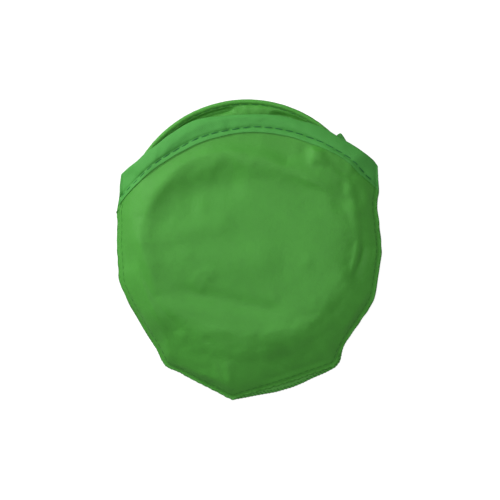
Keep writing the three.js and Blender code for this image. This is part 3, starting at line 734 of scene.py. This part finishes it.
# ---------------------------------------------------------------- mouth hems
# Rows of a hem's upper leg, as shares of its width from the mouth edge.
HEM_ROWS = [1.0, 0.975, 0.94, 0.9, 0.86, 0.82, 0.78, 0.74, 0.70, 0.66, 0.6, 0.5, 0.4, 0.3, 0.2,
            0.12, 0.06, 0.02]
HEM_FOLD_R = 0.36
HEM_THICKNESS = 0.17


def hem_grid(edge, low, row, z_of, lift, n, under_rows, seed):
    """The folded tape: upper leg from its lower edge to the mouth edge, round the fold, and
    back under the cloth. n columns along the mouth."""
    edge, low, row = even(edge, n), even(low, n), even(row, n)
    width = np.linalg.norm(low - edge, axis=1)
    across = (low - edge) / width[:, None]
    stitch_t = np.clip(np.linalg.norm(row - edge, axis=1) / width, 0.35, 0.9)
    s = length_along(edge)
    pucker = 0.5 + 0.5 * np.cos(TURN * s / STITCH_PITCH)
    rows = []
    for t in HEM_ROWS:
        p = edge + across * (width * t)[:, None]
        lane = bell((t - stitch_t) * width, 0.55)
        puff = 0.30 * np.sin(math.pi * np.clip(t / stitch_t, 0, 1)) ** 0.7
        tail = 0.16 * ease((t - stitch_t) / (1 - stitch_t + 1e-6))
        tail = tail * (1 - ease((t - 0.96) / 0.04) * 0.5)
        h = lift + puff + tail - lane * (0.26 + 0.12 * pucker)
        h = h + 0.10 * noise(s, t * 2.2, 3.1, seed) * np.sin(math.pi * t)
        h = h + 0.07 * noise(s, 0, 1.9, seed + 1) * ease((t - stitch_t) * 6)
        if t == 1.0:
            p = p + across * (0.10 * noise(s, 0, 2.2, seed + 2))[:, None]
        rows.append(np.column_stack([p, z_of(p) + h]))
    for degrees in (35, 65, 95, 125, 155):
        angle = math.radians(degrees)
        p = edge - across * (HEM_FOLD_R * math.sin(angle) * 0.9)
        z = z_of(edge) + (lift - HEM_FOLD_R + HEM_FOLD_R * math.cos(angle))
        rows.append(np.column_stack([p, z]))
    for t in under_rows:
        p = edge + across * (width * t)[:, None]
        z = z_of(p) - (0.34 + 0.04 * noise(s, t, 3.0, seed + 3))
        rows.append(np.column_stack([p, z]))
    return np.stack(rows, 1)


def hem_tape(name, grid):
    tape = mesh_object(name, grid.reshape(-1, 3), sheet_faces(*grid.shape[:2]))
    return solidify(tape, HEM_THICKNESS, 0.0)


def hem_stitches(name, row, z, lift, length, radius, seed):
    return mesh_object(name, *stitches(
        np.column_stack([row, z]), lift=lift, pitch=STITCH_PITCH, length=length, radius=radius,
        slant=0.14, seed=seed))


front_hem = hem_tape("front_hem_tape", hem_grid(
    MOUTH_LINE, HEM_LOW_LINE, STITCH_LINE, front_z, lift=0.26, n=430,
    under_rows=(0.03, 0.1, 0.2, 0.35, 0.5, 0.62, 0.72), seed=41))
fit(front_hem, "hem_tape", "front_mouth_hem", bends=True)

front_row = even(STITCH_LINE, 900)
front_stitches = hem_stitches(
    "front_hem_stitches", front_row, front_z(front_row) + 0.27,
    lift=0.09, length=3.0, radius=0.13, seed=51)
fit(front_stitches, "sewing_thread", "front_hem_thread", bends=True)

# hem of the back panel, stopping short of both corners
BACK_HEM_WIDTH, BACK_ROW_IN = 6.4, 4.6
back_edge = soften(BACK_MOUTH[::-1], 0.5)
into_pouch = -left_normals(back_edge)
inside_corners = slice(6, len(back_edge) - 6)
back_low, back_row = (
    soften((back_edge + into_pouch * width)[inside_corners], 2.0)
    for width in (BACK_HEM_WIDTH, BACK_ROW_IN))
back_grid = hem_grid(
    back_edge[inside_corners], back_low, back_row, back_z, lift=0.22, n=300,
    under_rows=(0.03, 0.12, 0.3, 0.5, 0.7), seed=61)
back_grid[:, :, 2] = np.maximum(back_grid[:, :, 2], 0.1)  # clear of the floor
back_hem = hem_tape("back_hem_tape", back_grid)
fit(back_hem, "hem_tape", "back_mouth_hem")

back_row = even(back_row, 700)
back_stitches = hem_stitches(
    "back_hem_stitches", back_row, back_z(back_row) + 0.34,
    lift=0.12, length=3.05, radius=0.19, seed=71)
fit(back_stitches, "sewing_thread", "back_hem_thread")


# ---------------------------------------------------------------- overlocked side seam
def overlock_path():
    """A flattened coil along the back panel's seam."""
    edge = even(BACK_SEAM_LINE, 6400)
    s = length_along(edge)
    inward = left_normals(edge)
    phase = TURN * s / 1.35 + 0.35 * noise(s, 0, 4.0, 81)
    reach = 0.52 + 0.08 * noise(s, 0, 3.0, 82)
    p = edge + inward * (reach * 0.86)[:, None]
    p = p + inward * (reach * np.cos(phase))[:, None]
    p = p + tangents(edge) * (0.16 * np.sin(phase))[:, None]
    z = np.maximum(seam_z(edge[:, 1]) + 0.14 + 0.34 * np.sin(phase), 0.2)
    return np.column_stack([p, z])


overlock = mesh_object("side_seam_overlock", *tube(overlock_path(), 0.10, 6))
fit(overlock, "sewing_thread", "side_seam_overlock_thread")

# the needle thread of the same seam, a row of short stitches inside the edge
needle_row = even(SEAM_LINE, 2600)
needle_row = soften(needle_row + left_normals(needle_row) * 1.75, 1.2)
needle = mesh_object("side_seam_needle_stitches", *stitches(
    np.column_stack([needle_row, front_z(needle_row) + 0.02]),
    lift=0.04, pitch=2.6, length=1.9, radius=0.055, slant=0.03, seed=91))
fit(needle, "sewing_thread")

# curled thread tail at the left side of the seam
THREAD_TAIL = np.array([
    (-48.9, 11.6, 4.6), (-49.4, 11.3, 4.9), (-49.9, 10.9, 4.9), (-50.1, 10.5, 4.6),
    (-49.8, 10.1, 4.4), (-49.3, 10.4, 4.3)])
thread_tail = mesh_object("seam_thread_tail", *tube(even(THREAD_TAIL, 24), 0.2, 8))
fit(thread_tail, "sewing_thread")

# ---------------------------------------------------------------- the folded disc
Loop = namedtuple("Loop", "name y radius z seed creases")
LOOPS = [
    Loop("rear_loop", REAR_Y, REAR_R, REAR_Z, 101, REAR_CREASES),
    Loop("middle_loop", TOP_Y, TOP_R, MIDDLE_Z, 201, []),
    Loop("front_loop", TOP_Y, TOP_R, FRONT_Z, 301, []),
]
RIM_STEPS = 420
RIM_ANGLE = np.linspace(0, TURN, RIM_STEPS, endpoint=False)
RIM_STITCH_PITCH = 3.7
# Upper half of the sleeve's section: place out from the wire, height.
SLEEVE = [
    (0.92, 0.0), (0.86, 0.38), (0.66, 0.68), (0.35, 0.87), (0.0, 0.93), (-0.34, 0.84),
    (-0.62, 0.62), (-0.80, 0.40), (-0.92, 0.26), (-1.06, 0.20), (-1.22, 0.20), (-1.34, 0.16),
    (-1.40, 0.08)]
FERRULE_STEP = 55   # its middle, in steps along the rear loop's wire


def rim_wave(seed):
    """How far the hoop is out of flat, at each rim angle."""
    return 0.10 * np.sin(2 * RIM_ANGLE + seed) + 0.07 * np.sin(5 * RIM_ANGLE + 2 * seed)


def wave_at(angle, seed):
    return np.interp(np.mod(angle, TURN), RIM_ANGLE, rim_wave(seed), period=TURN)


def circle(loop, radius, angle, *z):
    return np.stack([STACK_X + radius * np.cos(angle), loop.y + radius * np.sin(angle), *z], 1)


def rim_sleeve(loop):
    s = RIM_ANGLE * loop.radius
    seed = loop.seed
    pucker = noise(s, 0, 2.6, seed) * 0.5 + noise(s, 0, 5.5, seed + 1) * 0.5
    stitch_count = np.round(loop.radius * TURN / RIM_STITCH_PITCH)
    stitch_wave = 0.5 + 0.5 * np.cos(stitch_count * RIM_ANGLE)
    rows = []
    for out, height in SLEEVE + [(d, -h) for d, h in SLEEVE[:0:-1]]:
        inner = ease((-out - 0.4) / 0.8)
        r = loop.radius + (
            out + 0.10 * pucker * (0.4 + inner) + 0.05 * noise(s, out, 1.4, seed + 5))
        pinch = 0.18 * stitch_wave * bell(out + 1.0, 0.25)
        h = height * (1 + 0.10 * pucker * (1 - 0.4 * inner) - pinch)
        rows.append(circle(loop, r, RIM_ANGLE, loop.z + rim_wave(seed) + h))
    n, m = RIM_STEPS, len(rows)
    faces = []
    for i in range(n):
        a, b = i * m, ((i + 1) % n) * m
        faces += [(a + j, b + j, b + (j + 1) % m, a + (j + 1) % m) for j in range(m)]
    uv = np.stack([np.repeat(s, m), np.tile(np.linspace(0, 8, m), n)], 1)
    verts = np.stack(rows, 1).reshape(-1, 3)
    sleeve = mesh_object(loop.name + "_rim_sleeve_cloth", verts, faces, uv)
    return fit(sleeve, "rim_tape", loop.name + "_rim_sleeve", body=loop.name)


def loop_cloth(loop):
    """The cloth stretched across the hoop, with random and given creases."""
    edge = loop.radius - 0.95
    seed = loop.seed
    outline = circle(loop, edge, np.linspace(0, TURN, 200, endpoint=False))
    v, faces = triangulate(outline, 0.6 if loop.creases else 0.95)
    x, y = v[:, 0] - STACK_X, v[:, 1] - loop.y
    r, angle = np.hypot(x, y), np.arctan2(y, x)
    inside = ease((edge - r) / 5.5)
    h = 0.34 * noise(x, y, 15, seed + 20) + 0.20 * noise(x + 0.5 * y, y, 7, seed + 21)
    h = h + 0.05 * noise(x, y, 2.5, seed + 22)
    g = np.random.default_rng(seed + 23)
    for _ in range(15):
        px, py = g.uniform(-0.75, 0.75, 2) * edge
        heading = g.uniform(0, math.pi)
        ux, uy = math.cos(heading), math.sin(heading)
        along = (x - px) * ux + (y - py) * uy
        across = -(x - px) * uy + (y - py) * ux
        across = across + 0.004 * g.uniform(-1, 1) * along ** 2
        height = g.choice([-1, 1]) * g.uniform(0.22, 0.5)
        h += height * bell(across, g.uniform(0.9, 2.2)) * bell(along, g.uniform(9, 22))
    h = np.clip(h, -1.0, 0.95) * inside
    # gathers along the sleeve
    gathers = np.sin(angle * round(TURN * edge / 6.4) + 1.5 * np.sin(3 * angle))
    fade = np.exp(-(np.maximum(edge - r, 0) / 5.0) ** 1.2) * ease((edge - r) / 1.2)
    h += 0.16 * gathers * fade
    for line, height, width in loop.creases:
        p = soften(line, 1.2)
        dist, _, along = nearest(v, p)
        ends = ease(along / 4) * ease((length_along(p)[-1] - along) / 4)
        h += height * bell(dist, width) * ends * ease((edge - r - 0.1) / 1.3)
    z = loop.z + wave_at(angle, seed) * (1 - inside) + h
    cloth = solidify(
        mesh_object(loop.name + "_cloth", np.column_stack([v, z]), faces), 0.16, 0.0)
    return fit(cloth, "disc_cloth", loop.name + "_disc_cloth", body=loop.name)


def rim_stitches(loop):
    """The stitches that close the sleeve, on both faces."""
    angle = np.linspace(0, TURN, 900)
    parts = []
    for sign in (1, -1):
        z = loop.z + wave_at(angle, loop.seed) + sign * 0.30
        parts.append(stitches(
            circle(loop, loop.radius - 0.98, angle, z), lift=0.05 * sign,
            pitch=RIM_STITCH_PITCH, length=2.8, radius=0.07, slant=0.04,
            seed=loop.seed + 30 + sign))
    row = mesh_object(loop.name + "_rim_stitches", *join(parts))
    return fit(row, "sewing_thread", loop.name + "_rim_thread", body=loop.name)


def wire_path(loop):
    """Round the hoop, with a small gap at the foot."""
    gap = math.radians(3.2)
    angle = np.linspace(-math.pi / 2 + gap, 1.5 * math.pi - gap, 360)
    return circle(loop, loop.radius, angle, loop.z + wave_at(angle, loop.seed))


def spring_wire(loop):
    wire = mesh_object(loop.name + "_spring_wire", *tube(wire_path(loop), 0.55, 14))
    return fit(wire, "spring_wire", loop.name + "_hoop_wire", body=loop.name)


def crimped_ferrule(loop):
    """The ferrule that joins the two ends of the wire, with three crimps."""
    path = even(wire_path(loop)[FERRULE_STEP - 9:FERRULE_STEP + 10], 60)
    u = np.linspace(0, 1, 60)
    radius = 0.86 - 0.10 * sum(bell(u - crimp, 0.045) for crimp in (0.25, 0.5, 0.75))
    radius = radius * (1 - 0.18 * bell(u, 0.03) - 0.18 * bell(1 - u, 0.03))
    piece = mesh_object("crimped_ferrule", *tube(path, radius, 20))
    return fit(piece, "ferrule_metal", "wire_ferrule", body=loop.name)


rims, leaves, rim_rows, wires = [], [], [], []
for loop in LOOPS:
    rims.append(rim_sleeve(loop))
    leaves.append(loop_cloth(loop))
    rim_rows.append(rim_stitches(loop))
    wires.append(spring_wire(loop))
    if loop.name == "rear_loop":
        ferrule = crimped_ferrule(loop)


# ---------------------------------------------------------------- materials
def principled(name):
    material = bpy.data.materials.new(name)
    material.use_nodes = True
    tree = material.node_tree
    return material, tree, tree.nodes["Principled BSDF"]


def set_inputs(tree, node, inputs):
    """Each input gets a link if its value is a socket, or else the value."""
    for key, value in inputs.items():
        if isinstance(value, bpy.types.NodeSocket):
            tree.links.new(value, node.inputs[key])
        else:
            node.inputs[key].default_value = value


def add_node(tree, kind, inputs={}, **settings):
    node = tree.nodes.new("ShaderNode" + kind)
    for key, value in settings.items():
        setattr(node, key, value)
    set_inputs(tree, node, inputs)
    return node


def math_node(tree, operation, *values):
    return add_node(tree, "Math", dict(enumerate(values)), operation=operation).outputs[0]


def two_tone(tree, factor, dark, color):
    inputs = {"A": (*dark, 1), "B": (*color, 1), "Factor": factor}
    return add_node(tree, "Mix", inputs, data_type="RGBA").outputs["Result"]


def nylon(name, color, dark, rough=0.52, weave=0.040, weave_depth=0.028, crinkle=0.10,
          twill=False):
    """Coated nylon cloth: a weave in the cloth's own coordinates, small crinkles, and slow and
    fine variation of colour. weave is its period in cm; both depths are in mm."""
    material, tree, shader = principled(name)
    uv = add_node(tree, "UVMap", uv_map="cloth").outputs[0]
    across, along = add_node(tree, "SeparateXYZ", {0: uv}).outputs[:2]

    def op(operation, *values):
        return math_node(tree, operation, *values)

    def noise_texture(scale, detail, roughness=0.5, distortion=0.0):
        return add_node(tree, "TexNoise", {
            "Scale": scale, "Detail": detail, "Roughness": roughness,
            "Distortion": distortion, "Vector": uv}).outputs["Fac"]

    warp = op("SINE", op("MULTIPLY", across, TURN / weave))
    weft = op("SINE", op("MULTIPLY", along, TURN / weave))
    cross = op("MULTIPLY", warp, weft)
    if twill:
        rate = TURN / (weave * 2)
        diagonal = op("ADD", op("MULTIPLY", across, rate), op("MULTIPLY", along, rate))
        cross = op("ADD", op("MULTIPLY", cross, 0.6), op("MULTIPLY", op("SINE", diagonal), 0.5))

    slow = noise_texture(scale=0.8, detail=2)
    mid = noise_texture(scale=2.6, detail=3, roughness=0.55, distortion=0.4)
    fine = noise_texture(scale=34, detail=2, roughness=0.6)
    tone = op("ADD", op("MULTIPLY", slow, 0.45), op("MULTIPLY", mid, 0.35))
    tone = op("ADD", tone, op("MULTIPLY", fine, 0.35))
    tone = op("ADD", tone, op("MULTIPLY", cross, 0.05))
    tone = add_node(tree, "MapRange", {"From Min": 0.40, "From Max": 0.75, "Value": tone})
    roughness = add_node(tree, "MapRange", {
        "To Min": rough - 0.05, "To Max": rough + 0.09, "Value": mid})
    weave_bump = add_node(tree, "Bump", {
        "Strength": 0.8, "Distance": weave_depth * MM, "Height": cross})
    large = noise_texture(scale=3.4, detail=3, distortion=0.8)
    small = noise_texture(scale=11, detail=2, distortion=0.3)
    crinkle_bump = add_node(tree, "Bump", {
        "Strength": 1.0, "Distance": crinkle * MM,
        "Height": op("ADD", large, op("MULTIPLY", small, 0.3)),
        "Normal": weave_bump.outputs[0]})
    set_inputs(tree, shader, {
        "Base Color": two_tone(tree, tone.outputs[0], dark, color),
        "Roughness": roughness.outputs[0],
        "Normal": crinkle_bump.outputs[0],
        "Specular IOR Level": 0.25,
        "Sheen Weight": 0.0,
        "Sheen Roughness": 0.5,
        "Sheen Tint": (0.75, 1.0, 0.7, 1)})
    return material


def thread_material(name, color, dark):
    """Twisted polyester thread: fine diagonal ply lines and a soft shine."""
    material, tree, shader = principled(name)
    place = add_node(tree, "TexCoord").outputs["Object"]
    ply = add_node(tree, "TexWave", {
        "Scale": 900, "Distortion": 1.2, "Detail": 1, "Vector": place},
        wave_type="BANDS", bands_direction="DIAGONAL").outputs["Fac"]
    mottle = add_node(tree, "TexNoise", {"Scale": 260, "Vector": place}).outputs["Fac"]
    tone = math_node(tree, "ADD", math_node(tree, "MULTIPLY", ply, 0.5),
                     math_node(tree, "MULTIPLY", mottle, 0.5))
    bump = add_node(tree, "Bump", {"Strength": 0.6, "Distance": 0.03 * MM, "Height": ply})
    set_inputs(tree, shader, {
        "Base Color": two_tone(tree, tone, dark, color),
        "Normal": bump.outputs[0],
        "Roughness": 0.6,
        "Specular IOR Level": 0.12})
    return material


def metal_material(name, color, rough):
    """Metal with fine mottling in its colour, roughness and surface."""
    material, tree, shader = principled(name)
    place = add_node(tree, "TexCoord").outputs["Object"]
    mottle = add_node(tree, "TexNoise", {
        "Scale": 400, "Detail": 4, "Vector": place}).outputs["Fac"]
    roughness = add_node(tree, "MapRange", {
        "To Min": rough - 0.08, "To Max": rough + 0.12, "Value": mottle})
    bump = add_node(tree, "Bump", {"Strength": 0.3, "Distance": 0.01 * MM, "Height": mottle})
    set_inputs(tree, shader, {
        "Base Color": two_tone(tree, mottle, [c * 0.7 for c in color], color),
        "Metallic": 1,
        "Roughness": roughness.outputs[0],
        "Normal": bump.outputs[0]})
    return material


def floor_material():
    """Pale floor that glows brighter to the camera than to the pieces."""
    material, tree, shader = principled("pale_floor")
    seen = add_node(tree, "LightPath").outputs["Is Camera Ray"]
    set_inputs(tree, shader, {
        "Base Color": (0.3, 0.3, 0.3, 1),
        "Roughness": 0.9,
        "Specular IOR Level": 0.1,
        "Emission Color": (1, 1, 1, 1),
        "Emission Strength": math_node(
            tree, "ADD", math_node(tree, "MULTIPLY", seen, 0.69), 0.16)})
    return material


def paint(material, *pieces):
    for piece in pieces:
        piece.data.materials.clear()
        piece.data.materials.append(material)


paint(nylon("pouch_nylon", color=(0.061, 0.290, 0.034), dark=(0.051, 0.252, 0.028)),
      front, back)
paint(nylon("hem_nylon", color=(0.063, 0.312, 0.052), dark=(0.052, 0.270, 0.043), rough=0.58,
            weave=0.045, weave_depth=0.05, crinkle=0.06, twill=True),
      front_hem, back_hem)
paint(nylon("disc_nylon", color=(0.068, 0.310, 0.040), dark=(0.056, 0.268, 0.032), rough=0.5,
            crinkle=0.16),
      *leaves)
paint(nylon("rim_nylon", color=(0.072, 0.325, 0.042), dark=(0.060, 0.280, 0.034), rough=0.56,
            weave=0.045, weave_depth=0.04, crinkle=0.08),
      *rims)
paint(thread_material("green_thread", color=(0.014, 0.115, 0.042), dark=(0.008, 0.075, 0.026)),
      front_stitches, back_stitches, *rim_rows)
paint(thread_material("overlock_thread", color=(0.033, 0.160, 0.030),
                      dark=(0.020, 0.108, 0.019)),
      overlock, needle, thread_tail)
paint(metal_material("spring_steel", color=(0.56, 0.57, 0.58), rough=0.3), *wires)
paint(metal_material("ferrule_metal", color=(0.52, 0.50, 0.46), rough=0.4), ferrule)


# ---------------------------------------------------------------- floor, light, camera (metres)
def add_floor(half=3, z=-0.0001):
    mesh = bpy.data.meshes.new("floor")
    corners = [(-half, -half, z), (half, -half, z), (half, half, z), (-half, half, z)]
    mesh.from_pydata(corners, [], [(0, 1, 2, 3)])
    floor = link_object("floor", mesh)
    paint(floor_material(), floor)


def add_world(light, seen):
    """White surroundings: one strength for lighting, one as the camera sees them."""
    world = bpy.data.worlds.new("studio")
    scene.world = world
    world.use_nodes = True
    tree = world.node_tree
    lighting = tree.nodes["Background"]
    set_inputs(tree, lighting, {0: (1, 1, 1, 1), 1: light})
    backdrop = add_node(tree, "Background", {0: (1, 1, 1, 1), 1: seen})
    camera_ray = add_node(tree, "LightPath").outputs["Is Camera Ray"]
    mix = add_node(tree, "MixShader", {
        0: camera_ray, 1: lighting.outputs[0], 2: backdrop.outputs[0]})
    set_inputs(tree, tree.nodes["World Output"], {0: mix.outputs[0]})


def add_light(name, at, size, power):
    """Round area light aimed at the origin."""
    light = bpy.data.lights.new(name, "AREA")
    light.shape = "DISK"
    light.size = size
    light.energy = power
    lamp = link_object(name, light)
    lamp.location = at
    lamp.rotation_euler = (-Vector(at)).to_track_quat("-Z", "Y").to_euler()


def add_camera():
    """Looks straight down."""
    lens = bpy.data.cameras.new("camera")
    lens.sensor_width = 36
    lens.lens = 169.5
    lens.clip_start = 0.01
    lens.clip_end = 20
    camera = bpy.data.objects.new("camera", lens)
    camera.location = CAMERA_AT * MM
    scene.collection.objects.link(camera)
    scene.camera = camera


scene = bpy.context.scene
add_floor()
add_world(light=0.226, seen=1.0)
add_light("key", at=(-0.436, 0.282, 0.210), size=0.17, power=2.46)
add_light("top", at=(-0.05, 0.1, 1.0), size=0.5, power=5.84)
add_camera()
scene.view_settings.view_transform = "Standard"
scene.view_settings.look = "None"
scene.view_settings.exposure = 0
scene.view_settings.gamma = 1
